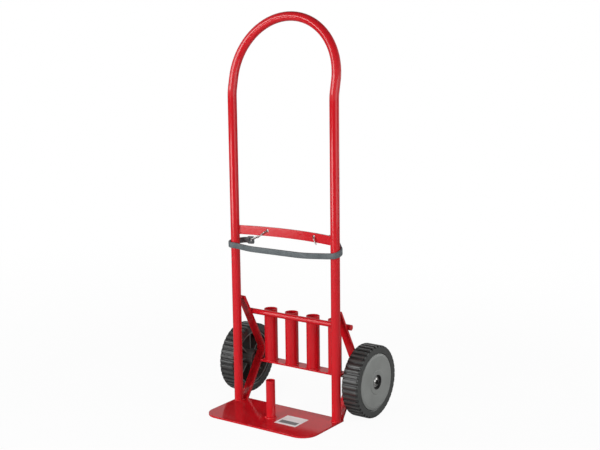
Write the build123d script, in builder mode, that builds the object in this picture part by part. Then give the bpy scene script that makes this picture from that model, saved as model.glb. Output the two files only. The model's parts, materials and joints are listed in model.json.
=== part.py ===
"""Hand truck for a demolition hammer: a bent tube frame on two rubber-tyred wheels.

Origin on the floor midway between the two legs. +X points right as seen from the front, +Y points
back towards the wheels and +Z is up. Lengths are millimetres, angles degrees.
"""
import os
from math import atan2, cos, radians, sin, sqrt, tan

from build123d import *

os.makedirs("parts", exist_ok=True)

SIDES = ((-1, "left"), (1, "right"))

# Gaps
WELD_GAP = 0.05         # between curved pieces that are welded along a line
SLACK = 0.3             # between loose pieces that lie against each other
RUNNING_GAP = 0.05      # radial, between the wheel bush and the axle

# Frame tube
TUBE_OD = 25.4
TUBE_WALL = 2.0
LEG_SPACING = 337.5     # between the legs' centre lines
BEND_START = 878.5      # height at which the legs start to lean back
BEND_RADIUS = 120.0     # of the centre line
LEAN = 12.8             # degrees
NECK = 26.5             # straight tube between the bend and the arch

# Toe plate
PLATE_THICKNESS = 4.8
PLATE_SIDE = 10.25      # beyond the legs' centre lines
PLATE_FRONT = 154.0     # from the legs' centre line forward
PLATE_BACK = 23.0       # from the legs' centre line back
PLATE_FRONT_CORNER = 45.0
PLATE_BACK_CORNER = 3.0

# Side braces, each a flat bar bent to a V
BRACE_WIDTH = 25.4
BRACE_THICKNESS = 6.35
BRACE_INSET = 4.75      # the brace's middle lies this far inside the leg's centre line
BRACE_CORNER_Y = 110.0  # the V's corner behind the legs' centre line, before it is rounded
BRACE_CORNER_RISE = 32.4    # the V's corner above the axle
BRACE_ABOVE_RAIL = 56.5     # from the rail's middle up to where the brace's line meets the leg's back
BRACE_FOOT_INSET = 3.0  # from the plate's back edge to the centre line
BRACE_BEND_RADIUS = 32.4

# Axle and wheels
AXLE_DIAMETER = 12.7
AXLE_CHAMFER = 1.0
WHEEL_DIAMETER = 203.2
TYRE_WIDTH = 49.5
TYRE_SHOULDER = 4.0     # radius of its rounded edges
TYRE_TO_LEG = 5.25      # from the leg's side to the tyre
TYRE_DEPTH = 23.2       # from the tread down to the rim it sits on
GROOVE_COUNT = 42
GROOVE_WIDTH = 5.2
GROOVE_DEPTH = 3.2
SHOULDER_GROOVE_DEPTH = 4.0     # where the grooves run out at the tyre's sides
SHOULDER_GROOVE_LENGTH = 9.0    # the part of each groove that deepens towards the side
DISC_PROUD = 2.0        # the wheel's face stands this far outside the tyre's side
DISC_THICKNESS = 6.0
DISC_BEVEL_WIDTH = 7.0
DISC_BEVEL_DEPTH = 2.4
HUB_RING_WIDTH = 13.0   # flat ring round the recess
HUB_RING_HEIGHT = 1.2
HUB_RING_SLOPE = 2.0
HUB_WALL = 14.0
RECESS_MARGIN = 4.8     # round the outer washer
RECESS_DEPTH = 10.0     # below the wheel's flat face
BARREL_WALL = 5.0       # of the rim that carries the tyre
BARREL_SINK = 4.0       # the rim's inner edge lies this far inside the tyre's side
RIB_COUNT = 8           # between hub and rim, on the wheel's inner side
RIB_THICKNESS = 4.0
RIB_SINK = 10.0         # the ribs start this far inside the rim's inner edge
BUSH_WALL = 3.1
BUSH_PROUD = 4.0        # out of the recess's floor
WASHER_THICKNESS = 1.6
WASHER_PLAY = 0.15      # radial, around the axle
INNER_WASHER_WIDTH = 7.5    # from its bore to its rim
OUTER_WASHER_WIDTH = 8.2
PUSH_NUT_WIDTH = 4.1    # from its bore to its rim
PUSH_NUT_HEIGHT = 2.6
PUSH_NUT_RIM = 0.9      # thickness at its outer edge
AXLE_PROUD = 2.5        # axle end beyond the push nut

# Tool bit rack
BIT_TUBE_OD = 38.1
BIT_TUBE_WALL = 1.65
BIT_TUBE_LENGTH = 152.4
BIT_TUBE_COUNT = 4
BIT_TUBE_MARGIN = 21.75 # between the outermost tubes and the braces
SHELF_THICKNESS = 4.8
SHELF_LIP = 4.2         # behind the axle's middle
SHELF_END = 6.5         # beyond the outermost tubes
RAIL_DIAMETER = 15.9
RAIL_DROP = 7.2         # from the tubes' tops down to the rail's middle
RAIL_OVERHANG = 6.3     # beyond the braces

# Bowed crossbar
CROSSBAR_HEIGHT = 25.4
CROSSBAR_THICKNESS = 4.8
CROSSBAR_Z = 504.8      # its middle
CROSSBAR_END_Y = 3.0    # its centre line at the legs
CROSSBAR_BOW = 24.8     # how far its middle stands behind its ends
HOOK_HOLE_DIAMETER = 9.0
LEFT_HOLE_INSET = 97.0  # from the leg's centre line
RIGHT_HOLE_INSET = 82.0
HOOK_HOLE_RISE = 2.2    # above the crossbar's middle

# Tool peg
PEG_OD = 25.4
PEG_WALL = 2.0
PEG_HEIGHT = 107.0
PEG_FORWARD = 72.0      # from the legs' centre line

# Rubber strap with its two wire hooks
STRAP_WIDTH = 16.0
STRAP_THICKNESS = 6.0
STRAP_LEG_GAP = 0.6     # between the strap and the legs that it goes round
STRAP_WRAP_RADIUS = 15.0
STRAP_LEAVE = 10.0      # past each leg's middle, where the strap leaves it
STRAP_BOW_INSET = 76.75 # from the leg's centre line to the corner of the bowed front
STRAP_LEFT_BOW = 16.7   # how far that corner stands forward of the strap in front of the leg
STRAP_RIGHT_BOW = 21.7
STRAP_TURN = 40.0       # degrees that the strap swings back behind the legs
STRAP_TURN_RADIUS = 25.0
LEFT_EYE_DROP = 31.8    # drops of the strap's middle line below the crossbar's, eye to eye
STRAP_LEFT_TURN_DROP = 33.3
STRAP_LEFT_BACK_DROP = 37.8
STRAP_LEFT_DROP = 41.8
STRAP_MIDDLE_DROP = 39.3
STRAP_RIGHT_LEAVE_DROP = 37.3
STRAP_RIGHT_DROP = 33.8
STRAP_RIGHT_BACK_DROP = 26.3
STRAP_RIGHT_TURN_DROP = 10.8
RIGHT_EYE_DROP = 2.3
LEFT_EYE_INSET = 32.75  # from the leg's centre line
RIGHT_EYE_INSET = 32.75
EYE_BACK = 29.3         # from the legs' centre line
STRAP_EASE_RADIUS = 45.0
STRAP_BOW_RADIUS = 160.0
STRAP_PAD_WIDTH = 21.5  # of the widened ends
STRAP_PAD_END = 10.5    # from the eye to the strap's end
STRAP_PAD_START = 8.0   # from the eye to where the strap begins to narrow
STRAP_PAD_FLARE = 4.0
STRAP_PAD_CORNER = 3.0
STRAP_EYE_HOLE = 9.0
WIRE_DIAMETER = 3.6
WIRE_BEND_RADIUS = 6.5  # of the centre line
WIRE_FLAT = 3.0         # straight wire to either side of the middle of the hole it passes
LEFT_TIP = 34.0         # the hook's end in front of the crossbar
RIGHT_TIP = 22.0
LEFT_TIP_LEAN = 53.0    # degrees, towards the leg
RIGHT_TIP_LEAN = 28.0
REAR_TIP = 20.0         # the hook's end behind the strap

# Derived places
tube_r = TUBE_OD / 2
leg_x = LEG_SPACING / 2
plate_top = PLATE_THICKNESS
axle_r = AXLE_DIAMETER / 2
axle_z = WHEEL_DIAMETER / 2
shelf_bottom = axle_z + axle_r + WELD_GAP
shelf_top = shelf_bottom + SHELF_THICKNESS
rail_r = RAIL_DIAMETER / 2
rail_z = shelf_top + BIT_TUBE_LENGTH - RAIL_DROP
brace_x = leg_x - BRACE_INSET
brace_inner = brace_x - BRACE_WIDTH / 2
brace_outer = brace_x + BRACE_WIDTH / 2
brace_top_y = tube_r + WELD_GAP
brace_top_z = rail_z + BRACE_ABOVE_RAIL
brace_corner_z = axle_z + BRACE_CORNER_RISE
foot_y = PLATE_BACK - BRACE_FOOT_INSET
upper_lean = atan2(BRACE_CORNER_Y - brace_top_y, brace_top_z - brace_corner_z)
lower_lean = atan2(BRACE_CORNER_Y - foot_y, brace_corner_z - plate_top)


def behind_bar(bar_y, radius, lean):
    """Y of a round piece's middle, welded behind a leaning flat bar whose centre line is at bar_y."""
    return bar_y + (BRACE_THICKNESS / 2 + WELD_GAP + radius) / cos(lean)


axle_y = behind_bar(foot_y + (axle_z - plate_top) * tan(lower_lean), axle_r, lower_lean)
rail_y = behind_bar(brace_top_y + BRACE_ABOVE_RAIL * tan(upper_lean), rail_r, upper_lean)
bit_tube_r = BIT_TUBE_OD / 2
bit_tube_y = rail_y + rail_r + WELD_GAP + bit_tube_r
last_tube_x = brace_inner - BIT_TUBE_MARGIN - bit_tube_r
bit_tube_xs = [last_tube_x * (2 * i / (BIT_TUBE_COUNT - 1) - 1) for i in range(BIT_TUBE_COUNT)]

# Frame tube: up one leg, back round the bend, over the arch and down the other leg
lean = radians(LEAN)
bend_end_y = BEND_RADIUS * (1 - cos(lean))
bend_end_z = BEND_START + BEND_RADIUS * sin(lean)
bend_mid_y = BEND_RADIUS * (1 - cos(lean / 2))
bend_mid_z = BEND_START + BEND_RADIUS * sin(lean / 2)
arch_y = bend_end_y + NECK * sin(lean)
arch_z = bend_end_z + NECK * cos(lean)
crown_y = arch_y + leg_x * sin(lean)
crown_z = arch_z + leg_x * cos(lean)

with BuildPart() as frame_tube:
    with BuildLine() as tube_line:
        for side, _ in SIDES:
            x = side * leg_x
            Line((x, 0, plate_top), (x, 0, BEND_START))
            ThreePointArc((x, 0, BEND_START), (x, bend_mid_y, bend_mid_z), (x, bend_end_y, bend_end_z))
            Line((x, bend_end_y, bend_end_z), (x, arch_y, arch_z))
        ThreePointArc((-leg_x, arch_y, arch_z), (0, crown_y, crown_z), (leg_x, arch_y, arch_z))
    with BuildSketch(Plane((-leg_x, 0, plate_top))):
        Circle(tube_r)
        Circle(tube_r - TUBE_WALL, mode=Mode.SUBTRACT)
    sweep(path=Wire(tube_line.edges()))
frame_tube.part.label = "frame_tube"
export_step(frame_tube.part, "parts/frame_tube.step")

# Toe plate
with BuildPart() as toe_plate:
    with BuildSketch() as plate_outline:
        with Locations((0, (PLATE_BACK - PLATE_FRONT) / 2)):
            Rectangle(LEG_SPACING + 2 * PLATE_SIDE, PLATE_FRONT + PLATE_BACK)
        fillet(plate_outline.vertices().group_by(Axis.Y)[0], PLATE_FRONT_CORNER)
        fillet(plate_outline.vertices().group_by(Axis.Y)[-1], PLATE_BACK_CORNER)
    extrude(amount=PLATE_THICKNESS)
toe_plate.part.label = "toe_plate"
export_step(toe_plate.part, "parts/toe_plate.step")

# Side braces: the top is cut square where its front edge meets the leg, the foot level on the plate
over_run = BRACE_THICKNESS
brace_end_set = BRACE_THICKNESS / 2 * cos(upper_lean)
brace_top_point = (brace_top_y + brace_end_set, brace_top_z - brace_end_set / tan(upper_lean))
brace_foot_point = (foot_y - over_run * tan(lower_lean), plate_top - over_run)
for side, name in SIDES:
    with BuildPart() as brace:
        with BuildSketch(Plane.YZ.offset(side * brace_x)):
            with BuildLine():
                FilletPolyline(
                    brace_foot_point, (BRACE_CORNER_Y, brace_corner_z), brace_top_point,
                    radius=BRACE_BEND_RADIUS,
                )
            trace(line_width=BRACE_THICKNESS)
            with Locations((foot_y, plate_top)):
                Rectangle(
                    2 * foot_y, plate_top + over_run,
                    align=(Align.CENTER, Align.MAX), mode=Mode.SUBTRACT,
                )
        extrude(amount=BRACE_WIDTH / 2, both=True)
    brace.part.label = f"brace_{name}"
    export_step(brace.part, f"parts/brace_{name}.step")

# Wheel places along X, measured outward from the middle of the truck
tyre_in = leg_x + tube_r + TYRE_TO_LEG
tyre_out = tyre_in + TYRE_WIDTH
disc_face = tyre_out + DISC_PROUD
recess_floor = disc_face - RECESS_DEPTH
disc_back = disc_face - DISC_THICKNESS
inner_washer_in = brace_outer + SLACK
hub_in = inner_washer_in + WASHER_THICKNESS + SLACK
bush_out = recess_floor + BUSH_PROUD
outer_washer_in = bush_out + SLACK
push_nut_in = outer_washer_in + WASHER_THICKNESS
axle_end = push_nut_in + PUSH_NUT_HEIGHT + AXLE_PROUD
barrel_in = tyre_in + BARREL_SINK
wheel_r = WHEEL_DIAMETER / 2
rim_r = wheel_r - TYRE_DEPTH
bush_bore = axle_r + RUNNING_GAP
bush_r = bush_bore + BUSH_WALL
hub_r = bush_r + HUB_WALL
washer_bore = axle_r + WASHER_PLAY
inner_washer_r = washer_bore + INNER_WASHER_WIDTH
outer_washer_r = washer_bore + OUTER_WASHER_WIDTH
nut_bore = axle_r + WELD_GAP
nut_r = nut_bore + PUSH_NUT_WIDTH
recess_r = outer_washer_r + RECESS_MARGIN
hub_ring_r = recess_r + HUB_RING_WIDTH
wheel_axis = Axis((0, axle_y, axle_z), (1, 0, 0))


def wheel_section(side):
    """Plane through the axle, local X outward along it and local Y up."""
    return Plane((0, axle_y, axle_z), x_dir=(side, 0, 0), z_dir=(0, -side, 0))


def wheel_face(x):
    """Plane square to the axle at x, local X back and local Y up."""
    return Plane((x, axle_y, axle_z), x_dir=(0, 1, 0), z_dir=(1, 0, 0))


def turned_ring(side, name, points):
    """A ring turned about the axle from a closed profile of (outward, radius) points."""
    with BuildPart() as ring:
        with BuildSketch(wheel_section(side)):
            with BuildLine():
                Polyline(*points, close=True)
            make_face()
        revolve(axis=wheel_axis)
    ring.part.label = name
    export_step(ring.part, f"parts/{name}.step")


# Axle
with BuildPart() as axle:
    with BuildSketch(wheel_face(-axle_end)):
        Circle(axle_r)
    extrude(amount=2 * axle_end)
    chamfer(axle.edges().filter_by(GeomType.CIRCLE), AXLE_CHAMFER)
axle.part.label = "axle"
export_step(axle.part, "parts/axle.step")

# Wheels, each a moulded disc in a rubber tyre, on a bush between two washers
for side, name in SIDES:
    with BuildPart() as grooves:
        with BuildSketch(wheel_section(side)):
            with BuildLine():
                Polyline(
                    (tyre_in, wheel_r - SHOULDER_GROOVE_DEPTH),
                    (tyre_in + SHOULDER_GROOVE_LENGTH, wheel_r - GROOVE_DEPTH),
                    (tyre_out - SHOULDER_GROOVE_LENGTH, wheel_r - GROOVE_DEPTH),
                    (tyre_out, wheel_r - SHOULDER_GROOVE_DEPTH),
                    (tyre_out, wheel_r + GROOVE_DEPTH),
                    (tyre_in, wheel_r + GROOVE_DEPTH),
                    close=True,
                )
            make_face()
        revolve(axis=wheel_axis)
        with BuildSketch(wheel_face(side * (tyre_in + TYRE_WIDTH / 2))):
            with PolarLocations(wheel_r, GROOVE_COUNT, start_angle=-90 + 180 / GROOVE_COUNT):
                Rectangle(3 * SHOULDER_GROOVE_DEPTH, GROOVE_WIDTH)
        extrude(amount=TYRE_WIDTH, both=True, mode=Mode.INTERSECT)

    with BuildPart() as tyre:
        with BuildSketch(wheel_section(side)) as tyre_profile:
            with Locations((tyre_in, rim_r)):
                Rectangle(TYRE_WIDTH, wheel_r - rim_r, align=(Align.MIN, Align.MIN))
            fillet(tyre_profile.vertices().group_by(Axis.Z)[-1], TYRE_SHOULDER)
        revolve(axis=wheel_axis)
        add(grooves.part, mode=Mode.SUBTRACT)
    tyre.part.label = f"tyre_{name}"
    export_step(tyre.part, f"parts/tyre_{name}.step")

    with BuildPart() as wheel_disc:
        with BuildSketch(wheel_section(side)):
            with BuildLine():
                Polyline(
                    (hub_in, bush_r),
                    (hub_in, hub_r),
                    (disc_back, hub_r),
                    (disc_back, rim_r - BARREL_WALL),
                    (barrel_in, rim_r - BARREL_WALL),
                    (barrel_in, rim_r),
                    (disc_face - DISC_BEVEL_DEPTH, rim_r),
                    (disc_face, rim_r - DISC_BEVEL_WIDTH),
                    (disc_face, hub_ring_r + HUB_RING_SLOPE),
                    (disc_face + HUB_RING_HEIGHT, hub_ring_r),
                    (disc_face + HUB_RING_HEIGHT, recess_r),
                    (recess_floor, recess_r),
                    (recess_floor, bush_r),
                    close=True,
                )
            make_face()
        revolve(axis=wheel_axis)
        rib_start = (hub_r + bush_r) / 2
        rib_end = rim_r - BARREL_WALL / 2
        rib_in = barrel_in + RIB_SINK
        with BuildSketch(wheel_face(side * rib_in)):
            with PolarLocations((rib_start + rib_end) / 2, RIB_COUNT):
                Rectangle(rib_end - rib_start, RIB_THICKNESS)
        extrude(amount=side * (disc_back + DISC_THICKNESS / 2 - rib_in))
    wheel_disc.part.label = f"wheel_disc_{name}"
    export_step(wheel_disc.part, f"parts/wheel_disc_{name}.step")

    turned_ring(side, f"wheel_bush_{name}", [
        (hub_in, bush_bore), (bush_out, bush_bore), (bush_out, bush_r), (hub_in, bush_r),
    ])
    for place, start, radius in (
        ("inner", inner_washer_in, inner_washer_r),
        ("outer", outer_washer_in, outer_washer_r),
    ):
        end = start + WASHER_THICKNESS
        turned_ring(side, f"{place}_washer_{name}", [
            (start, washer_bore), (end, washer_bore), (end, radius), (start, radius),
        ])
    nut_end = push_nut_in + PUSH_NUT_HEIGHT
    turned_ring(side, f"push_nut_{name}", [
        (push_nut_in, nut_r),
        (push_nut_in + PUSH_NUT_RIM, nut_r),
        (nut_end, nut_bore + PUSH_NUT_RIM),
        (nut_end, nut_bore),
        (push_nut_in, nut_bore),
    ])

# Tool bit rack: a shelf on the axle, upright tubes on the shelf, and a rail across their fronts
shelf_front = bit_tube_y - bit_tube_r
shelf_back = axle_y + SHELF_LIP
shelf_half = last_tube_x + bit_tube_r + SHELF_END
with BuildPart() as bit_shelf:
    with BuildSketch(Plane.XY.offset(shelf_bottom)):
        with Locations((0, (shelf_front + shelf_back) / 2)):
            Rectangle(2 * shelf_half, shelf_back - shelf_front)
    extrude(amount=SHELF_THICKNESS)
bit_shelf.part.label = "bit_shelf"
export_step(bit_shelf.part, "parts/bit_shelf.step")

for number, x in enumerate(bit_tube_xs, start=1):
    with BuildPart() as bit_tube:
        with BuildSketch(Plane((x, bit_tube_y, shelf_top))):
            Circle(bit_tube_r)
            Circle(bit_tube_r - BIT_TUBE_WALL, mode=Mode.SUBTRACT)
        extrude(amount=BIT_TUBE_LENGTH)
    bit_tube.part.label = f"bit_tube_{number}"
    export_step(bit_tube.part, f"parts/bit_tube_{number}.step")

rail_half = brace_outer + RAIL_OVERHANG
with BuildPart() as bit_rail:
    with BuildSketch(Plane((-rail_half, rail_y, rail_z), x_dir=(0, 1, 0), z_dir=(1, 0, 0))):
        Circle(rail_r)
    extrude(amount=2 * rail_half)
bit_rail.part.label = "bit_rail"
export_step(bit_rail.part, "parts/bit_rail.step")

# Bowed crossbar, its ends cut round to meet the legs
crossbar_mid_y = CROSSBAR_END_Y + CROSSBAR_BOW
crossbar_bottom = CROSSBAR_Z - CROSSBAR_HEIGHT / 2
hook_holes_x = (LEFT_HOLE_INSET - leg_x, leg_x - RIGHT_HOLE_INSET)
hook_hole_z = CROSSBAR_Z + HOOK_HOLE_RISE
with BuildPart() as back_crossbar:
    with BuildSketch(Plane.XY.offset(crossbar_bottom)):
        with BuildLine():
            ThreePointArc((-leg_x, CROSSBAR_END_Y), (0, crossbar_mid_y), (leg_x, CROSSBAR_END_Y))
        trace(line_width=CROSSBAR_THICKNESS)
        with Locations((-leg_x, 0), (leg_x, 0)):
            Circle(tube_r + WELD_GAP, mode=Mode.SUBTRACT)
    extrude(amount=CROSSBAR_HEIGHT)
    with BuildSketch(Plane.XZ):
        with Locations(*[(x, hook_hole_z) for x in hook_holes_x]):
            Circle(HOOK_HOLE_DIAMETER / 2)
    extrude(amount=LEG_SPACING, both=True, mode=Mode.SUBTRACT)
back_crossbar.part.label = "back_crossbar"
export_step(back_crossbar.part, "parts/back_crossbar.step")

# Tool peg: a short open tube on the toe plate
with BuildPart() as tool_peg:
    with BuildSketch(Plane((0, -PEG_FORWARD, plate_top))):
        Circle(PEG_OD / 2)
        Circle(PEG_OD / 2 - PEG_WALL, mode=Mode.SUBTRACT)
    extrude(amount=PEG_HEIGHT)
tool_peg.part.label = "tool_peg"
export_step(tool_peg.part, "parts/tool_peg.step")

# Rubber strap: bowed across the front, round the outside of both legs, to an eye behind each leg
wrap = tube_r + STRAP_LEG_GAP + STRAP_THICKNESS / 2
wrap_back_y = wrap * tan(radians(90 - STRAP_TURN) / 2)
turn_x = leg_x + wrap - (EYE_BACK - wrap_back_y) / tan(radians(STRAP_TURN))
bow_x = leg_x - STRAP_BOW_INSET
left_eye = Vector(LEFT_EYE_INSET - leg_x, EYE_BACK, CROSSBAR_Z - LEFT_EYE_DROP)
right_eye = Vector(leg_x - RIGHT_EYE_INSET, EYE_BACK, CROSSBAR_Z - RIGHT_EYE_DROP)
strap_points = [
    left_eye,
    (-turn_x, EYE_BACK, CROSSBAR_Z - STRAP_LEFT_TURN_DROP),
    (-leg_x - wrap, wrap_back_y, CROSSBAR_Z - STRAP_LEFT_BACK_DROP),
    (-leg_x - wrap, -wrap, CROSSBAR_Z - STRAP_LEFT_DROP),
    (-leg_x + STRAP_LEAVE, -wrap, CROSSBAR_Z - STRAP_LEFT_DROP),
    (-bow_x, -wrap - STRAP_LEFT_BOW, CROSSBAR_Z - STRAP_LEFT_DROP),
    (bow_x, -wrap - STRAP_RIGHT_BOW, CROSSBAR_Z - STRAP_MIDDLE_DROP),
    (leg_x - STRAP_LEAVE, -wrap, CROSSBAR_Z - STRAP_RIGHT_LEAVE_DROP),
    (leg_x + wrap, -wrap, CROSSBAR_Z - STRAP_RIGHT_DROP),
    (leg_x + wrap, wrap_back_y, CROSSBAR_Z - STRAP_RIGHT_BACK_DROP),
    (turn_x, EYE_BACK, CROSSBAR_Z - STRAP_RIGHT_TURN_DROP),
    right_eye,
]
half_radii = [STRAP_TURN_RADIUS, STRAP_WRAP_RADIUS, STRAP_WRAP_RADIUS, STRAP_EASE_RADIUS, STRAP_BOW_RADIUS]
strap_radii = half_radii + half_radii[::-1]


def eye_directions(eye, next_point):
    """Directions along the strap away from its eye, and level across its thickness."""
    along = (Vector(next_point) - eye).normalized()
    across = Vector(0, 0, 1).cross(along).normalized()
    return along, across


eyes = ((left_eye, strap_points[1]), (right_eye, strap_points[-2]))
with BuildPart() as strap:
    with BuildLine() as strap_line:
        FilletPolyline(*strap_points, radius=strap_radii)
    upright = Wire(strap_line.edges()).moved(Location((0, 0, STRAP_WIDTH)))
    along, across = eye_directions(*eyes[0])
    with BuildSketch(Plane(left_eye, x_dir=across, z_dir=along)):
        Rectangle(STRAP_THICKNESS, STRAP_WIDTH)
    sweep(path=Wire(strap_line.edges()), binormal=upright)
    for eye, next_point in eyes:
        along, across = eye_directions(eye, next_point)
        narrow = STRAP_PAD_START + STRAP_PAD_FLARE
        with BuildSketch(Plane(eye, x_dir=along, z_dir=across)) as pad:
            with BuildLine():
                Polyline(
                    (-STRAP_PAD_END, -STRAP_PAD_WIDTH / 2),
                    (STRAP_PAD_START, -STRAP_PAD_WIDTH / 2),
                    (narrow, -STRAP_WIDTH / 2),
                    (narrow, STRAP_WIDTH / 2),
                    (STRAP_PAD_START, STRAP_PAD_WIDTH / 2),
                    (-STRAP_PAD_END, STRAP_PAD_WIDTH / 2),
                    close=True,
                )
            make_face()
            pad_end = eye - along * STRAP_PAD_END
            fillet(pad.vertices().sort_by_distance(pad_end)[:2], STRAP_PAD_CORNER)
        extrude(amount=STRAP_THICKNESS / 2, both=True)
    for eye, next_point in eyes:
        along, across = eye_directions(eye, next_point)
        with BuildSketch(Plane(eye, x_dir=along, z_dir=across)):
            Circle(STRAP_EYE_HOLE / 2)
        extrude(amount=STRAP_THICKNESS, both=True, mode=Mode.SUBTRACT)
strap.part.label = "strap"
export_step(strap.part, "parts/strap.step")

# Wire hooks, each an S: down through the strap's eye at one end, forward through the crossbar at the other
wire_r = WIRE_DIAMETER / 2
hook_reach = WIRE_FLAT + WIRE_BEND_RADIUS
bar_seat = HOOK_HOLE_DIAMETER / 2 - wire_r - SLACK
eye_seat = STRAP_EYE_HOLE / 2 - wire_r - SLACK
tips = ((LEFT_TIP, radians(LEFT_TIP_LEAN)), (RIGHT_TIP, radians(RIGHT_TIP_LEAN)))
bow_radius = (leg_x**2 + CROSSBAR_BOW**2) / (2 * CROSSBAR_BOW)
for (side, name), (eye, _), hole_x, (tip, tip_lean) in zip(SIDES, eyes, hook_holes_x, tips):
    hole_y = crossbar_mid_y - bow_radius + sqrt(bow_radius**2 - hole_x**2)
    hole = Vector(hole_x, hole_y, hook_hole_z)
    pull = Vector(hole.X - eye.X, 0, hole.Z - eye.Z).normalized()
    in_bar = hole - pull * bar_seat
    in_eye = eye + pull * eye_seat
    depth = Vector(0, hook_reach, 0)
    tip_way = Vector(side * sin(tip_lean), 0, -cos(tip_lean))
    front_end = in_bar - depth + tip_way * tip
    with BuildPart() as strap_hook:
        with BuildLine() as wire_line:
            FilletPolyline(
                front_end,
                in_bar - depth,
                in_bar + depth,
                in_eye - depth,
                in_eye + depth,
                in_eye + depth + pull * REAR_TIP,
                radius=WIRE_BEND_RADIUS,
            )
        with BuildSketch(Plane(front_end, z_dir=-tip_way)):
            Circle(wire_r)
        sweep(path=Wire(wire_line.edges()))
    strap_hook.part.label = f"strap_hook_{name}"
    export_step(strap_hook.part, f"parts/strap_hook_{name}.step")
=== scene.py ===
"""Looks of the hand truck: finishes, weld beads, rubber strap and label around its CAD frame.

The frame is in metres: +X right as seen from the front, +Y back towards the wheels, +Z up.
"""
import json
import math

import bmesh
import bpy
from mathutils import Matrix, Vector

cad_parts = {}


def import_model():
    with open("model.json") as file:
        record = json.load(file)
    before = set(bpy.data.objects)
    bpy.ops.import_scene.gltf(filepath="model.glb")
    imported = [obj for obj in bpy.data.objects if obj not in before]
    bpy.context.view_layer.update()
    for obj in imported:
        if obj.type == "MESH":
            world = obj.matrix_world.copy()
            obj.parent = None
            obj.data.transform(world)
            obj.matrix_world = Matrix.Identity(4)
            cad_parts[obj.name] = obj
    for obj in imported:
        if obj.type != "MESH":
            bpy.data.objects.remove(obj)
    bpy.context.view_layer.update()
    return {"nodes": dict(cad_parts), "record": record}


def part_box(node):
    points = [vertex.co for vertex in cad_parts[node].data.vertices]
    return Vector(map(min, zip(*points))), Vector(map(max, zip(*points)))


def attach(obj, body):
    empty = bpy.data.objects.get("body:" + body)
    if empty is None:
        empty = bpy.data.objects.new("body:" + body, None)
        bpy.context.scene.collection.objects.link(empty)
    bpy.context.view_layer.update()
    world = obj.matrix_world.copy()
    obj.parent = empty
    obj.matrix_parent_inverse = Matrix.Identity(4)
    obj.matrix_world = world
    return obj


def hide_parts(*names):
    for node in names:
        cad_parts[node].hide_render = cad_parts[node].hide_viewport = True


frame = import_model()
nodes = frame["nodes"]

MM = 0.001
SIDES = (-1, 1)             # left and right

# Places read from the frame
TUBE_R = 12.7 * MM
leg_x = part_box("frame_tube")[1].x - TUBE_R
plate_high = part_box("toe_plate")[1]
plate_top = plate_high.z
peg_low, peg_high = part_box("tool_peg")
peg_centre = (peg_low + peg_high) / 2
shelf_low, shelf_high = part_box("bit_shelf")
rail_low, rail_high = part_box("bit_rail")
rail_centre = (rail_low + rail_high) / 2
rail_r = (rail_high.z - rail_low.z) / 2
axle_low, axle_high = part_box("axle")
axle_centre = (axle_low + axle_high) / 2
axle_r = (axle_high.z - axle_low.z) / 2
bar_low, bar_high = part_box("back_crossbar")
disc_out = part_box("wheel_disc_right")[1].x
BIT_TUBES = [f"bit_tube_{i}" for i in range(1, 5)]

# Weld beads: shares are of the bead's own radius unless a comment says otherwise
BEAD_R = 2.2 * MM
PEG_BEAD_R = 3.0 * MM
BEAD_STEP = 0.9 * MM
BEAD_RIPPLE = 0.13
BEAD_RIPPLE_LENGTH = 3.1 * MM
BEAD_SIDES = 10
BEAD_END = 0.35             # share left at the end of an open bead
BEAD_END_GROWTH = 0.3       # share that each step from the end adds
BEAD_ASKEW = Vector((0.31, 0.52, 0.79))     # a direction that no bead runs in
BRACE_THICKNESS = 6.35 * MM
BRACE_BEAD_LIFT = 0.2       # of the bead's middle off the leg and off the brace's foot
BRACE_BEAD_REACH = 0.9      # share of the leg's radius that the bead follows the leg for
UPPER_LEAN = math.radians(28.3)     # of the braces' two arms, from upright
LOWER_LEAN = math.radians(34.9)
BAR_BEAD_SINK = 0.35        # of the beads along axle and rail, into the bar
BAR_BEAD_SPREAD = 1.35      # of those beads, to either side of the bar's middle
RAIL_BEAD_LEVELS = (-0.55, 0.55)    # shares of the rail's radius
RAIL_BEAD_HALF = 5 * MM     # half the length of a bead between rail and bit tube
RAIL_BEAD_LIFT = 0.15       # of that bead's middle off the tube
CROSSBAR_WELDS = (3.4 * MM, 9.6 * MM)   # behind the legs' middle, at the bar's two faces
CROSSBAR_BEAD_INSET = 1 * MM
SHELF_WELDS = (-95 * MM, 0.0, 95 * MM)
SHELF_WELD_LENGTH = 25 * MM
SHELF_BEAD_SPREAD = 1.4     # of the shelf's beads, to either side of the axle's middle
SHELF_BEAD_DROP = 0.4       # of those beads' middle, below the shelf

# Rubber strap: the middle line's corners in millimetres, and the radius that each is rounded to
STRAP_WIDTH = 16 * MM
STRAP_THICKNESS = 6 * MM
STRAP_EDGE_R = 1.6 * MM
STRAP_EYE_HOLE_R = 4.5 * MM
STRAP_EYE_SIDES = 40
STRAP_PAD_WIDTH = 21.5 * MM
STRAP_PAD_END = 10.5 * MM   # from the eye to the strap's end
STRAP_PAD_START = 8 * MM    # from the eye to where the strap starts to narrow
STRAP_PAD_FLARE = 4 * MM
STRAP_PAD_CORNER_R = 3 * MM
STRAP_END_THINNING = 0.5    # of the thickness, as a share of what the pad's corners take off
STRAP_STEP = 1.5 * MM
STRAP_TURN_R = 25 * MM      # where it leaves the leg's back for the eye
STRAP_WRAP_R = 15 * MM      # round the leg
STRAP_EASE_R = 45 * MM      # where it leaves the leg's front
STRAP_BOW_R = 160 * MM      # in front
LEFT_EYE = Vector((-136.0, 29.3, 473.0)) * MM
RIGHT_EYE = Vector((136.0, 29.3, 502.5)) * MM
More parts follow.
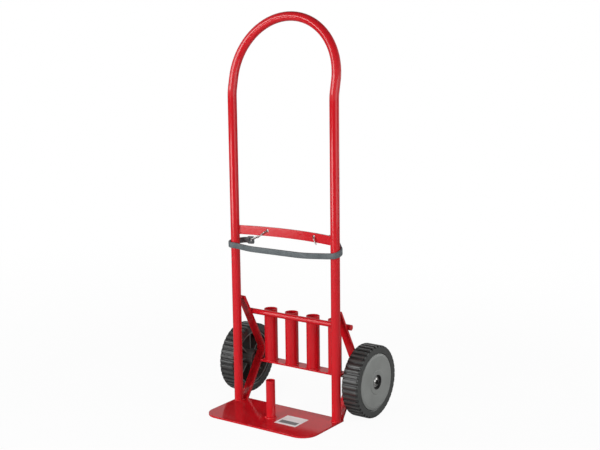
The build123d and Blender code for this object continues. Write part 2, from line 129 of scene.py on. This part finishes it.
STRAP_CORNERS = (
    ((-159.19, 29.3, 471.5), STRAP_TURN_R),
    ((-185.05, 7.60, 467.0), STRAP_WRAP_R),
    ((-185.05, -16.3, 463.0), STRAP_WRAP_R),
    ((-158.75, -16.3, 463.0), STRAP_EASE_R),
    ((-92.0, -33.0, 463.0), STRAP_BOW_R),
    ((92.0, -38.0, 465.5), STRAP_BOW_R),
    ((158.75, -16.3, 467.5), STRAP_EASE_R),
    ((185.05, -16.3, 471.0), STRAP_WRAP_R),
    ((185.05, 7.60, 478.5), STRAP_WRAP_R),
    ((159.19, 29.3, 494.0), STRAP_TURN_R),
)

# Wheels
LUG_COUNT = 42              # one of them at the bottom
LUG_CROWN = 0.55 * MM
TREAD_EDGE = (94 * MM, 98 * MM)     # radii between which the tyre's side turns into the tread
GROOVE_PAINTED_SHADE = (-0.5, 1.0)  # cosines round a lug between which the painted shade of the darkest groove fades out to the plain rubber
# painted shade: within this radius of the axle the wheel's colour is darkened for the shadow in the recess
# and on its wall, fading over the next width
HUB_PAINTED_SHADE_R = 20.2 * MM
HUB_PAINTED_SHADE_EDGE = 1.5 * MM
DISC_FACE_DEPTH = 6.7 * MM  # from the disc's outermost face to the back of its web
DISC_SHADE_EDGE = 1 * MM
AXLE_DARK_END = (0.5 * MM, 0.2 * MM)    # from the axle's end, where the dark begins and is full

# Label
LABEL_SIZE = (70 * MM, 66 * MM)
LABEL_CENTRE = (65.6 * MM, -67 * MM)
LABEL_TURN = math.radians(1)
LABEL_THICKNESS = 0.25 * MM
LABEL_GAP = 0.02 * MM       # under it
LABEL_CORNER_R = 2.0 * MM
LABEL_BAND = ((0.0, 28 * MM), (-13 * MM, 10 * MM))      # middle and reach, across and along

# Floor and light
FLOOR_SIZE = 60
FLOOR_DROP = 0.2 * MM
FLOOR_PAINT = 0.3           # how much light the floor gives back
FLOOR_GLOW = (0.86, 1.1)    # share and strength of the white that the camera sees near the truck
FLOOR_FADE = (0.9, 2.6)     # distances over which both turn into 1, in metres
FLOOR_SHINE = 0.1           # share of the floor's white that paint and metal mirror
ROOM_LIGHT = 0.03           # from all round, on plain surfaces
ROOM_SHINE = (0.6, 0.12)    # from all round and from above, as mirrored in paint
ROOM_RISE = (0.25, 0.75)    # sines of the elevations between which the one turns into the other
LAMP_AIM = Vector((0, 0, 0.4))
LAMP_DISTANCE = 2.7
LAMPS = (
    # name, azimuth and elevation in degrees, width and height in metres, watts, whether it is mirrored
    ("key", -6, 5, (1.0, 1.0), 41, False),
    ("key_low", -25, -3.3, (1.8, 0.45), 12.7, True),
    ("key_high", -26, 26, (1.8, 0.7), 20, True),
    ("left", -80, 32, (1.0, 1.0), 13, False),
    ("right_low", 85, 8, (2.2, 1.5), 16.6, True),
    ("right_high", 72, 28, (1.0, 1.0), 19, False),
    ("back_right", 125, 28, (1.0, 1.0), 11, False),
    ("rim", 145, 4, (0.5, 1.1), 5, True),
    ("back", -165, 20, (1.0, 1.2), 24, False),
)

# Camera, as it stood for the photograph
CAMERA_AZIMUTH = 35.32      # degrees
CAMERA_ELEVATION = 10.69
CAMERA_ROLL = math.radians(-0.72)
CAMERA_DISTANCE = 3186.64 * MM
CAMERA_AIM = Vector((55.17, 0.0, 539.52)) * MM
CAMERA_LENS = 70.71         # millimetres
CAMERA_SENSOR = 36.0


# Materials
def srgb(red, green, blue):
    """A colour given as it looks on a screen, as the linear values that a shader takes."""
    def linear(value):
        return value / 12.92 if value <= 0.04045 else ((value + 0.055) / 1.055) ** 2.4
    return linear(red), linear(green), linear(blue), 1.0


class Nodes:
    """A shader's node tree, with short ways to add to it."""

    def __init__(self, tree):
        self.tree = tree

    def node(self, kind, **settings):
        made = self.tree.nodes.new(kind)
        for key, value in settings.items():
            setattr(made, key, value)
        return made

    def join(self, source, target):
        self.tree.links.new(source, target)

    def feed(self, socket, value):
        """Gives a socket its value, which is a number, a colour or another node's socket."""
        if isinstance(value, bpy.types.NodeSocket):
            self.join(value, socket)
        else:
            socket.default_value = value

    def spread(self, value, low, high, start=0.3, end=0.7):
        """Maps the range start..end to low..high. The range is a noise's middle if none is given."""
        ranged = self.node("ShaderNodeMapRange")
        for key, number in (("From Min", start), ("From Max", end), ("To Min", low), ("To Max", high)):
            ranged.inputs[key].default_value = number
        self.join(value, ranged.inputs["Value"])
        return ranged.outputs["Result"]

    def math(self, operation, *values):
        """A math node; each value is a number or a socket."""
        made = self.node("ShaderNodeMath", operation=operation)
        for socket, value in zip(made.inputs, values):
            self.feed(socket, value)
        return made.outputs["Value"]

    def blend(self, factor, first, second):
        """Mixes two numbers; each is a number or a socket."""
        mixer = self.node("ShaderNodeMix")
        for key, value in (("Factor", factor), ("A", first), ("B", second)):
            self.feed(mixer.inputs[key], value)
        return mixer.outputs["Result"]

    def mix(self, factor, first, second):
        """Mixes two colours; each is a colour or a socket."""
        mixer = self.node("ShaderNodeMix", data_type="RGBA")
        self.join(factor, mixer.inputs["Factor"])
        self.feed(mixer.inputs[6], first)
        self.feed(mixer.inputs[7], second)
        return mixer.outputs[2]


class Finish(Nodes):
    """A procedural material under construction: one Principled shader and the textures that feed it."""

    def __init__(self, name, colour, roughness, metallic=0.0):
        self.material = bpy.data.materials.new(name)
        self.material.use_nodes = True
        super().__init__(self.material.node_tree)
        self.shader = self.tree.nodes["Principled BSDF"]
        self.shader.inputs["Base Color"].default_value = colour
        self.shader.inputs["Roughness"].default_value = roughness
        self.shader.inputs["Metallic"].default_value = metallic
        self.place = self.node("ShaderNodeTexCoord").outputs["Object"]
        self.normal = None

    def noise(self, size, detail=3.0):
        """Noise whose features are about this large, in metres."""
        mapping = self.node("ShaderNodeMapping")
        mapping.inputs["Scale"].default_value = [1 / size] * 3
        self.join(self.place, mapping.inputs["Vector"])
        texture = self.node("ShaderNodeTexNoise")
        texture.inputs["Scale"].default_value = 1.0
        texture.inputs["Detail"].default_value = detail
        self.join(mapping.outputs["Vector"], texture.inputs["Vector"])
        return texture.outputs["Fac"]

    def axes(self, centre=(0, 0, 0)):
        """The place's X, Y and Z, measured from a centre."""
        offset = self.node("ShaderNodeVectorMath", operation="SUBTRACT")
        offset.inputs[1].default_value = centre
        self.join(self.place, offset.inputs[0])
        parts = self.node("ShaderNodeSeparateXYZ")
        self.join(offset.outputs["Vector"], parts.inputs["Vector"])
        return parts.outputs["X"], parts.outputs["Y"], parts.outputs["Z"]

    def off_middle(self):
        """Distance from the truck's middle plane."""
        return self.math("ABSOLUTE", self.axes()[0])

    def round_axle(self):
        """Distance from the axle's line, and angle round it from straight back."""
        _, back, up = self.axes(axle_centre)
        squared = self.math("MULTIPLY_ADD", up, up, self.math("MULTIPLY", back, back))
        return self.math("SQRT", squared), self.math("ARCTAN2", up, back)

    def mottle(self, size, first, second):
        """A colour that drifts between two, over patches of about this size."""
        return self.mix(self.spread(self.noise(size), 0.0, 1.0), first, second)

    def colour(self, value):
        self.join(value, self.shader.inputs["Base Color"])

    def roughness(self, size, low, high):
        """Roughness that drifts between two values, over patches of about this size."""
        self.join(self.spread(self.noise(size), low, high), self.shader.inputs["Roughness"])

    def soften_edges(self, radius):
        """Rounds hard edges, in the shading alone."""
        bevel = self.node("ShaderNodeBevel", samples=6)
        bevel.inputs["Radius"].default_value = radius
        self.normal = bevel.outputs["Normal"]
        self.join(self.normal, self.shader.inputs["Normal"])

    def bump(self, height, depth):
        """Adds relief of this depth, in metres, over what is there already."""
        bumper = self.node("ShaderNodeBump")
        bumper.inputs["Strength"].default_value = 1.0
        bumper.inputs["Distance"].default_value = depth
        self.join(height, bumper.inputs["Height"])
        if self.normal is not None:
            self.join(self.normal, bumper.inputs["Normal"])
        self.normal = bumper.outputs["Normal"]
        self.join(self.normal, self.shader.inputs["Normal"])

    def grain(self, size, depth, detail=3.0):
        """Fine relief with features of about this size."""
        self.bump(self.noise(size, detail), depth)


def red_paint():
    finish = Finish("red_powder_coat", srgb(0.78, 0.09, 0.13), 0.12)
    finish.shader.inputs["IOR"].default_value = 1.5
    finish.colour(finish.mottle(90 * MM, srgb(0.77, 0.085, 0.125), srgb(0.79, 0.095, 0.135)))
    finish.roughness(4 * MM, 0.08, 0.15)
    finish.soften_edges(0.9 * MM)
    finish.grain(2.5 * MM, 0.006 * MM, detail=1.0)
    return finish.material


def zinc():
    finish = Finish("zinc_plate", srgb(0.80, 0.80, 0.79), 0.3, metallic=1.0)
    finish.colour(finish.mottle(6 * MM, srgb(0.74, 0.74, 0.73), srgb(0.86, 0.86, 0.85)))
    finish.roughness(1.5 * MM, 0.22, 0.42)
    finish.grain(0.8 * MM, 0.01 * MM)
    return finish.material


def axle_steel():
    """Turned bar, dark on its two end faces."""
    finish = Finish("axle_steel", srgb(0.42, 0.41, 0.40), 0.42, metallic=1.0)
    bar = finish.mottle(4 * MM, srgb(0.34, 0.33, 0.32), srgb(0.5, 0.49, 0.48))
    dark_begins, dark_full = (axle_high.x - inset for inset in AXLE_DARK_END)
    at_end = finish.spread(finish.off_middle(), 0.0, 1.0, dark_begins, dark_full)
    finish.colour(finish.mix(at_end, bar, srgb(0.1, 0.1, 0.1)))
    finish.roughness(1 * MM, 0.35, 0.55)
    finish.grain(0.6 * MM, 0.012 * MM)
    return finish.material


def strap_rubber():
    finish = Finish("strap_rubber", srgb(0.345, 0.37, 0.38), 0.5)
    finish.colour(finish.mottle(20 * MM, srgb(0.31, 0.335, 0.345), srgb(0.375, 0.40, 0.41)))
    finish.roughness(3 * MM, 0.42, 0.6)
    finish.grain(0.9 * MM, 0.03 * MM, detail=2.0)
    return finish.material


def tyre_rubber():
    """Dark rubber, with each lug of the tread rounded over and painted shade darkening the grooves."""
    finish = Finish("tyre_rubber", srgb(0.25, 0.25, 0.25), 0.3)
    radius, angle = finish.round_axle()
    on_tread = finish.spread(radius, 0.0, 1.0, *TREAD_EDGE)
    from_lug = finish.math("MULTIPLY_ADD", angle, LUG_COUNT, LUG_COUNT * math.pi / 2)
    crown = finish.math("COSINE", from_lug)
    rubber = finish.mottle(30 * MM, srgb(0.235, 0.24, 0.235), srgb(0.275, 0.28, 0.275))
    # painted shade: the grooves between the lugs darkened in colour, as if in shadow
    groove_shade = finish.math("MULTIPLY", on_tread, finish.spread(crown, 1.0, 0.0, *GROOVE_PAINTED_SHADE))
    finish.colour(finish.mix(groove_shade, rubber, srgb(0.15, 0.15, 0.15)))
    finish.roughness(2 * MM, 0.16, 0.28)
    finish.soften_edges(0.9 * MM)
    finish.bump(finish.math("MULTIPLY", crown, on_tread), LUG_CROWN)
    finish.grain(1.1 * MM, 0.05 * MM, detail=2.0)
    return finish.material


def wheel_plastic():
    """Grey moulding, darker on its ribbed inner side, with painted shade in the recess round the axle."""
    finish = Finish("wheel_plastic", srgb(0.55, 0.56, 0.55), 0.45)
    face = finish.mottle(50 * MM, srgb(0.53, 0.54, 0.53), srgb(0.57, 0.58, 0.57))
    web_back = disc_out - DISC_FACE_DEPTH
    inner = finish.spread(finish.off_middle(), 1.0, 0.0, web_back, web_back + DISC_SHADE_EDGE)
    moulding_colour = finish.mix(inner, face, srgb(0.42, 0.43, 0.42))
    radius, _ = finish.round_axle()
    # painted shade: the recess round the axle and its wall darkened in colour, as if in shadow
    recess_shade = finish.spread(radius, 1.0, 0.0, HUB_PAINTED_SHADE_R, HUB_PAINTED_SHADE_R + HUB_PAINTED_SHADE_EDGE)
    finish.colour(finish.mix(recess_shade, moulding_colour, srgb(0.22, 0.22, 0.22)))
    finish.roughness(1.5 * MM, 0.4, 0.55)
    finish.soften_edges(0.5 * MM)
    finish.grain(0.7 * MM, 0.03 * MM, detail=2.0)
    return finish.material


def bush_plastic():
    finish = Finish("bush_plastic", srgb(0.13, 0.13, 0.13), 0.4)
    finish.roughness(1 * MM, 0.35, 0.5)
    finish.grain(0.7 * MM, 0.02 * MM)
    return finish.material


def label_film():
    """White film with one plain grey band, and no print."""
    finish = Finish("label_film", srgb(0.97, 0.96, 0.96), 0.15)
    finish.shader.inputs["IOR"].default_value = 1.6
    across, along, _ = finish.axes()
    (middle_x, reach_x), (middle_y, reach_y) = LABEL_BAND
    inside = finish.math(
        "MULTIPLY",
        finish.math("COMPARE", across, middle_x, reach_x),
        finish.math("COMPARE", along, middle_y, reach_y))
    film = finish.mottle(10 * MM, srgb(0.96, 0.95, 0.95), srgb(0.99, 0.98, 0.98))
    finish.colour(finish.mix(inside, film, srgb(0.42, 0.41, 0.42)))
    finish.roughness(2 * MM, 0.1, 0.2)
    return finish.material


FINISHES = {
    "red_paint": red_paint(),
    "zinc": zinc(),
    "axle_steel": axle_steel(),
    "strap_rubber": strap_rubber(),
    "tyre_rubber": tyre_rubber(),
    "wheel_plastic": wheel_plastic(),
    "bush_plastic": bush_plastic(),
}
for subpart in frame["record"]["subparts"]:
    mesh = nodes[subpart["node"]].data
    mesh.materials.clear()
    mesh.materials.append(FINISHES[subpart["material_slot"]])


# Meshes
def piece(name, bm, slot, body="frame"):
    """A finished mesh as an object that rides a body and takes a slot's finish."""
    bmesh.ops.recalc_face_normals(bm, faces=bm.faces)
    mesh = bpy.data.meshes.new(name)
    bm.to_mesh(mesh)
    bm.free()
    for polygon in mesh.polygons:
        polygon.use_smooth = True
    mesh.materials.append(FINISHES[slot])
    made = bpy.data.objects.new(name, mesh)
    bpy.context.scene.collection.objects.link(made)
    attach(made, body)
    return made


def skin(bm, rings, closed=False):
    """Joins rings of vertices to a tube, with flat ends unless it closes on itself."""
    pairs = list(zip(rings, rings[1:]))
    if closed:
        pairs.append((rings[-1], rings[0]))
    for first, second in pairs:
        count = len(first)
        for i in range(count):
            j = (i + 1) % count
            bm.faces.new((first[i], first[j], second[j], second[i]))
    if not closed:
        bm.faces.new(reversed(rings[0]))
        bm.faces.new(rings[-1])


def rounded_section(width, thickness, radius, corner_points=4):
    """Outline of a flat bar with rounded edges, as pairs of places across its thickness and its width."""
    outline = []
    for quarter, (sx, sy) in enumerate(((1, 1), (-1, 1), (-1, -1), (1, -1))):
        cx = sx * (thickness / 2 - radius)
        cy = sy * (width / 2 - radius)
        for i in range(corner_points + 1):
            angle = math.pi / 2 * (quarter + i / corner_points)
            outline.append((cx + radius * math.cos(angle), cy + radius * math.sin(angle)))
    return outline


# Weld beads
def arc(centre, radius, start, end, across=(1, 0, 0), up=(0, 1, 0)):
    """Points along an arc, a bead's step apart. Angles in radians from across towards up."""
    count = max(6, round(abs(end - start) * radius / BEAD_STEP))
    centre, across, up = Vector(centre), Vector(across), Vector(up)
    angles = [start + (end - start) * i / count for i in range(count + 1)]
    return [centre + radius * (math.cos(a) * across + math.sin(a) * up) for a in angles]


def run(start, end):
    """Points along a straight line, a bead's step apart."""
    start, end = Vector(start), Vector(end)
    count = max(4, round((end - start).length / BEAD_STEP))
    return [start.lerp(end, i / count) for i in range(count + 1)]


def bead(bm, points, radius, closed=False):
    """A rippled weld bead along a line of points. A closed line ends on its first point."""
    if closed:
        points = points[:-1]
    count = len(points)
    rings = []
    travel = 0.0
    for i, point in enumerate(points):
        before = points[i - 1] if closed or i else point
        after = points[(i + 1) % count] if closed or i < count - 1 else point
        along = (after - before).normalized()
        side = along.cross(BEAD_ASKEW).normalized()
        other = along.cross(side)
        if i:
            travel += (point - points[i - 1]).length
        size = radius * (1 + BEAD_RIPPLE * math.sin(2 * math.pi * travel / BEAD_RIPPLE_LENGTH))
        if not closed:
            to_end = min(i, count - 1 - i)
            size *= min(1.0, BEAD_END + BEAD_END_GROWTH * to_end)
        ring = []
        for k in range(BEAD_SIDES):
            angle = 2 * math.pi * k / BEAD_SIDES
            ring.append(bm.verts.new(point + size * (math.cos(angle) * side + math.sin(angle) * other)))
        rings.append(ring)
    skin(bm, rings, closed)


def weld_leg_feet():
    """A bead round each leg's foot, open at the side where the plate ends."""
    bm = bmesh.new()
    reach = plate_high.x - BEAD_R - leg_x
    open_angle = math.acos(reach / TUBE_R)
    for side in SIDES:
        foot = (side * leg_x, 0, plate_top)
        points = arc(foot, TUBE_R, open_angle, 2 * math.pi - open_angle, across=(side, 0, 0))
        bead(bm, points, BEAD_R)
    piece("weld_leg_feet", bm, "red_paint")


def weld_peg_foot():
    """A bead all round the peg's foot."""
    bm = bmesh.new()
    points = arc((peg_centre.x, peg_centre.y, plate_top), TUBE_R + BEAD_R / 2, 0, 2 * math.pi)
    bead(bm, points, PEG_BEAD_R, closed=True)
    piece("weld_peg_foot", bm, "red_paint")


def weld_bit_tubes():
    """A bead round the foot of each tube where the shelf carries it, and two short ones at the rail."""
    bm = bmesh.new()
    for name in BIT_TUBES:
        low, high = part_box(name)
        centre = (low + high) / 2
        radius = (high.x - low.x) / 2
        lip = shelf_high.y - centre.y - BEAD_R
        half = math.asin(lip / radius)
        foot = (centre.x, centre.y, shelf_high.z)
        bead(bm, arc(foot, radius, math.pi - half, 2 * math.pi + half), BEAD_R)
        for level in RAIL_BEAD_LEVELS:
            height = rail_centre.z + level * rail_r
            depth = low.y - RAIL_BEAD_LIFT * BEAD_R
            start = (centre.x - RAIL_BEAD_HALF, depth, height)
            end = (centre.x + RAIL_BEAD_HALF, depth, height)
            bead(bm, run(start, end), BEAD_R)
    piece("weld_bit_tubes", bm, "red_paint")


def weld_crossbar():
    """Upright beads in front of and behind the bar, at each leg."""
    bm = bmesh.new()
    for side in SIDES:
        for depth in CROSSBAR_WELDS:
            x = side * (leg_x - math.sqrt(TUBE_R**2 - depth**2))
            start = (x, depth, bar_low.z + CROSSBAR_BEAD_INSET)
            end = (x, depth, bar_high.z - CROSSBAR_BEAD_INSET)
            bead(bm, run(start, end), BEAD_R)
    piece("weld_crossbar", bm, "red_paint")


def weld_braces():
    """Beads at each brace's top and foot, and along the two bars that are welded behind it."""
    bm = bmesh.new()
    bars = (
        (axle_centre, axle_r, LOWER_LEAN, -1),
        (rail_centre, rail_r, UPPER_LEAN, 1),
    )
    for name in ("brace_left", "brace_right"):
        low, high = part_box(name)
        left, right = low.x + BEAD_R, high.x - BEAD_R
        leg = math.copysign(leg_x, low.x + high.x)
        edge = high.z - BRACE_THICKNESS * math.sin(UPPER_LEAN)
        top = run((left, 0, edge), (right, 0, edge))
        for point in top:
            off_leg = min(abs(point.x - leg), BRACE_BEAD_REACH * TUBE_R)
            point.y = math.sqrt(TUBE_R**2 - off_leg**2) + BRACE_BEAD_LIFT * BEAD_R
        bead(bm, top, BEAD_R)
        foot = low.y + BRACE_BEAD_LIFT * BEAD_R
        bead(bm, run((left, foot, plate_top), (right, foot, plate_top)), BEAD_R)
        for centre, radius, lean, rise in bars:
            out = Vector((0, math.cos(lean), rise * math.sin(lean)))
            along = Vector((0, -rise * math.sin(lean), math.cos(lean)))
            for turn in (-1, 1):
                surface = centre - out * (radius - BAR_BEAD_SINK * BEAD_R)
                place = surface + along * turn * BAR_BEAD_SPREAD * BEAD_R
                bead(bm, run((left, place.y, place.z), (right, place.y, place.z)), BEAD_R)
    piece("weld_braces", bm, "red_paint")


def weld_shelf():
    """Short beads where the shelf lies on the axle."""
    bm = bmesh.new()
    height = shelf_low.z - SHELF_BEAD_DROP * BEAD_R
    for turn in (-1, 1):
        depth = axle_centre.y + turn * SHELF_BEAD_SPREAD * BEAD_R
        for middle in SHELF_WELDS:
            start = (middle - SHELF_WELD_LENGTH / 2, depth, height)
            end = (middle + SHELF_WELD_LENGTH / 2, depth, height)
            bead(bm, run(start, end), BEAD_R)
    piece("weld_shelf", bm, "red_paint")


weld_leg_feet()
weld_peg_foot()
weld_bit_tubes()
weld_crossbar()
weld_braces()
weld_shelf()


# Rubber strap
def rounded_route(corners, radii, step):
    """Points along straight runs between corners that are rounded to arcs."""
    route = [corners[0].copy()]

    def go_to(point):
        start = route[-1]
        count = max(1, round((point - start).length / step))
        route.extend(start.lerp(point, i / count) for i in range(1, count + 1))

    for before, corner, after, radius in zip(corners, corners[1:], corners[2:], radii):
        back = (before - corner).normalized()
        on = (after - corner).normalized()
        half = back.angle(on) / 2
        reach = radius / math.tan(half)
        centre = corner + (back + on).normalized() * (radius / math.sin(half))
        start = corner + back * reach
        end = corner + on * reach
        go_to(start)
        turn = math.pi - 2 * half
        count = max(2, round(radius * turn / step))
        from_centre = start - centre
        axis = from_centre.cross(end - centre).normalized()
        for i in range(1, count + 1):
            route.append(centre + Matrix.Rotation(turn * i / count, 3, axis) @ from_centre)
    go_to(corners[-1])
    return route


def strap_width(distance):
    """The strap's width at a distance inward from an eye: a pad round the eye that tapers to the strap."""
    share = (distance - STRAP_PAD_START) / STRAP_PAD_FLARE
    share = min(1.0, max(0.0, share))
    ease = share * share * (3 - 2 * share)
    return STRAP_PAD_WIDTH + (STRAP_WIDTH - STRAP_PAD_WIDTH) * ease


def strap():
    """The strap round both legs, from eye to eye."""
    corners = [Vector(corner) * MM for corner, _ in STRAP_CORNERS]
    radii = [radius for _, radius in STRAP_CORNERS]
    start = LEFT_EYE + (LEFT_EYE - corners[0]).normalized() * STRAP_PAD_END
    end = RIGHT_EYE + (RIGHT_EYE - corners[-1]).normalized() * STRAP_PAD_END
    route = rounded_route([start, *corners, end], radii, STRAP_STEP)
    travels = [0.0]
    for first, second in zip(route, route[1:]):
        travels.append(travels[-1] + (second - first).length)
    total = travels[-1]
    bm = bmesh.new()
    rings = []
    for i, (point, travel) in enumerate(zip(route, travels)):
        along = (route[min(i + 1, len(route) - 1)] - route[max(i - 1, 0)]).normalized()
        across = along.cross(Vector((0, 0, 1))).normalized()
        up = across.cross(along)
        to_end = min(travel, total - travel)
        width = strap_width(abs(to_end - STRAP_PAD_END))
        inset = 0.0
        if to_end < STRAP_PAD_CORNER_R:
            rise = 1 - to_end / STRAP_PAD_CORNER_R
            inset = STRAP_PAD_CORNER_R * (1 - math.sqrt(1 - rise**2))
        thickness = STRAP_THICKNESS - STRAP_END_THINNING * inset
        outline = rounded_section(width - 2 * inset, thickness, STRAP_EDGE_R)
        rings.append([bm.verts.new(point + across * a + up * u) for a, u in outline])
    skin(bm, rings)
    made = piece("rubber_strap", bm, "strap_rubber")
    cut_eyes(made)
    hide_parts("strap")


def cut_eyes(made):
    """Cuts the two hook eyes through the strap's ends."""
    for number, eye in enumerate((LEFT_EYE, RIGHT_EYE)):
        bpy.ops.mesh.primitive_cylinder_add(
            radius=STRAP_EYE_HOLE_R, depth=4 * STRAP_THICKNESS, vertices=STRAP_EYE_SIDES, location=eye,
            rotation=(math.pi / 2, 0, 0))
        cutter = bpy.context.object
        cutting = made.modifiers.new(f"eye_{number}", "BOOLEAN")
        cutting.operation = "DIFFERENCE"
        cutting.solver = "EXACT"
        cutting.object = cutter
        graph = bpy.context.evaluated_depsgraph_get()
        cut = bpy.data.meshes.new_from_object(made.evaluated_get(graph))
        made.modifiers.clear()
        made.data = cut
        bpy.data.objects.remove(cutter)


strap()


# Label on the toe plate
def label():
    """A film on the plate. The record has no slot for it, so it takes the plate's, with its own finish."""
    bm = bmesh.new()
    width, length = LABEL_SIZE
    outline = rounded_section(length, width, LABEL_CORNER_R)
    top = [bm.verts.new((x, y, LABEL_THICKNESS)) for x, y in outline]
    bottom = [bm.verts.new((x, y, LABEL_GAP)) for x, y in outline]
    skin(bm, [bottom, top])
    made = piece("plate_label", bm, "red_paint")
    for polygon in made.data.polygons:
        polygon.use_smooth = False
    made.data.materials.clear()
    made.data.materials.append(label_film())
    made.matrix_world = Matrix.Translation((*LABEL_CENTRE, plate_top)) @ Matrix.Rotation(LABEL_TURN, 4, "Z")


label()


# Floor, light and camera
def floor():
    """A plain floor that the camera sees as white, with only a trace of the truck's shadow."""
    bpy.ops.mesh.primitive_plane_add(size=FLOOR_SIZE, location=(0, 0, -FLOOR_DROP))
    made = bpy.context.object
    made.name = "floor"
    material = bpy.data.materials.new("floor_white")
    material.use_nodes = True
    shading = Nodes(material.node_tree)
    shading.tree.nodes.clear()
    output = shading.node("ShaderNodeOutputMaterial")
    paint = shading.node("ShaderNodeBsdfDiffuse")
    paint.inputs["Color"].default_value = (FLOOR_PAINT, FLOOR_PAINT, FLOOR_PAINT, 1)
    from_truck = shading.node("ShaderNodeVectorMath", operation="LENGTH")
    shading.join(shading.node("ShaderNodeTexCoord").outputs["Object"], from_truck.inputs[0])
    distance = from_truck.outputs["Value"]
    near_share, near_strength = FLOOR_GLOW
    share = shading.spread(distance, near_share, 1.0, *FLOOR_FADE)
    glow = shading.node("ShaderNodeEmission")
    glow.inputs["Color"].default_value = (1, 1, 1, 1)
    shading.join(shading.spread(distance, near_strength, 1.0, *FLOOR_FADE), glow.inputs["Strength"])
    path = shading.node("ShaderNodeLightPath").outputs
    seen = shading.math("MULTIPLY_ADD", path["Is Glossy Ray"], FLOOR_SHINE, path["Is Camera Ray"])
    mixer = shading.node("ShaderNodeMixShader")
    shading.join(shading.math("MULTIPLY", share, seen), mixer.inputs["Fac"])
    shading.join(paint.outputs["BSDF"], mixer.inputs[1])
    shading.join(glow.outputs["Emission"], mixer.inputs[2])
    shading.join(mixer.outputs["Shader"], output.inputs["Surface"])
    made.data.materials.append(material)


def world():
    """White to the camera, and a dim room to everything else, brighter where paint and metal mirror it."""
    made = bpy.data.worlds.new("studio")
    bpy.context.scene.world = made
    made.use_nodes = True
    shading = Nodes(made.node_tree)
    sky = shading.tree.nodes["Background"]
    sky.inputs["Color"].default_value = (1, 1, 1, 1)
    direction = shading.node("ShaderNodeSeparateXYZ")
    shading.join(shading.node("ShaderNodeTexCoord").outputs["Generated"], direction.inputs["Vector"])
    shine = shading.spread(direction.outputs["Z"], *ROOM_SHINE, *ROOM_RISE)
    path = shading.node("ShaderNodeLightPath").outputs
    unseen = shading.blend(path["Is Glossy Ray"], ROOM_LIGHT, shine)
    shading.join(shading.blend(path["Is Camera Ray"], unseen, 1.0), sky.inputs["Strength"])


def towards(azimuth, elevation):
    """A direction in degrees. Azimuth 0 is to the front, and 90 to the right."""
    azimuth, elevation = math.radians(azimuth), math.radians(elevation)
    level = math.cos(elevation)
    return Vector((level * math.sin(azimuth), -level * math.cos(azimuth), math.sin(elevation)))


def lamp(name, azimuth, elevation, size, power, mirrored):
    """A soft box that shines on the truck's middle."""
    data = bpy.data.lights.new(name, "AREA")
    data.shape = "RECTANGLE"
    data.size, data.size_y = size
    data.energy = power
    made = bpy.data.objects.new(name, data)
    out = towards(azimuth, elevation)
    made.location = LAMP_AIM + out * LAMP_DISTANCE
    made.rotation_euler = (-out).to_track_quat("-Z", "Y").to_euler()
    made.visible_camera = False
    made.visible_glossy = mirrored
    bpy.context.scene.collection.objects.link(made)


def camera():
    """The photograph's camera."""
    data = bpy.data.cameras.new("camera")
    data.sensor_fit = "HORIZONTAL"
    data.sensor_width = CAMERA_SENSOR
    data.lens = CAMERA_LENS
    made = bpy.data.objects.new("camera", data)
    back = towards(CAMERA_AZIMUTH, CAMERA_ELEVATION)
    right = towards(CAMERA_AZIMUTH + 90, 0)
    up = back.cross(right)
    rolled_right = right * math.cos(CAMERA_ROLL) + up * math.sin(CAMERA_ROLL)
    rolled_up = up * math.cos(CAMERA_ROLL) - right * math.sin(CAMERA_ROLL)
    turn = Matrix((rolled_right, rolled_up, back)).transposed().to_4x4()
    made.matrix_world = Matrix.Translation(CAMERA_AIM + back * CAMERA_DISTANCE) @ turn
    bpy.context.scene.collection.objects.link(made)
    bpy.context.scene.camera = made


floor()
world()
for settings in LAMPS:
    lamp(*settings)
camera()
bpy.context.scene.view_settings.view_transform = "Standard"
